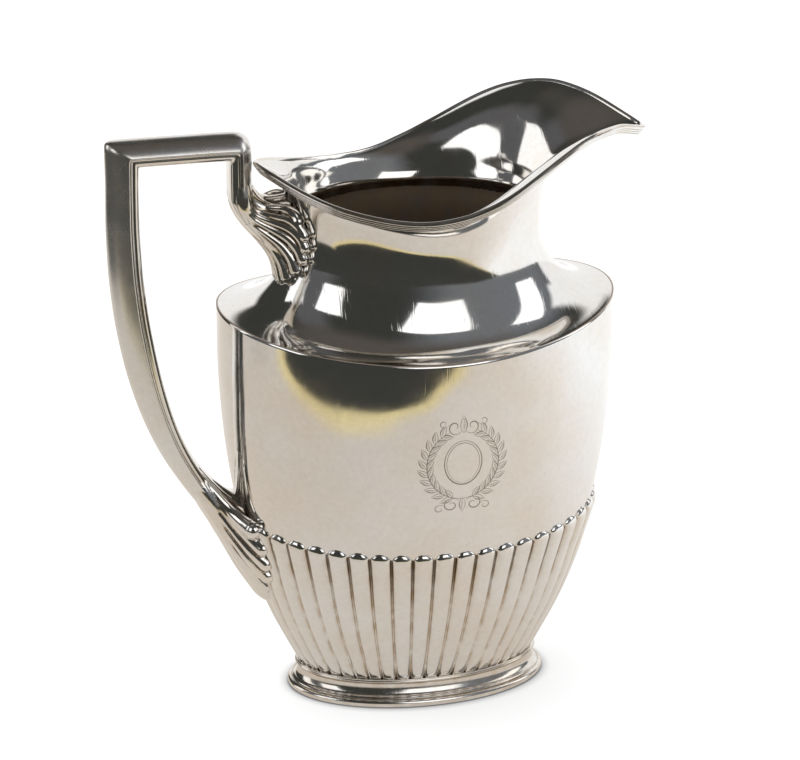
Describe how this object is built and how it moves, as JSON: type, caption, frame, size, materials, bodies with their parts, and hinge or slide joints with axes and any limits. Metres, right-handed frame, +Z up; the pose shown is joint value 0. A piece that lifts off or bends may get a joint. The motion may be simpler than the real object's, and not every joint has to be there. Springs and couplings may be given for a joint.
{
  "type": "water pitcher",
  "caption": "Oval silver water pitcher with a convex-fluted lower body, ridged shoulder, wide pouring lip and a squared hollow handle joined by fluted cast sprays.",
  "frame": {"origin": "centre of the oval foot, on the plane the foot stands on", "axes": "+Z up, +X towards the pouring lip, handle at -X, +Y across the body; y = 0 is the mirror plane"},
  "size_m": [0.2111, 0.115, 0.2358],
  "materials": {
    "silver_sheet": "polished raised sheet, fine wear scratches, faint yellow tarnish",
    "silver_wire": "polished drawn moulding, darker in the grooves",
    "silver_cast": "polished casting, darker between the reeds"
  },
  "bodies": {
    "root": {"body_shell": "silver_sheet", "shoulder_neck": "silver_sheet", "rim_moulding": "silver_wire", "foot_ring": "silver_wire", "handle_outer": "silver_sheet", "handle_inner": "silver_wire", "upper_terminal": "silver_cast", "lower_terminal": "silver_cast"}
  },
  "joints": []
}
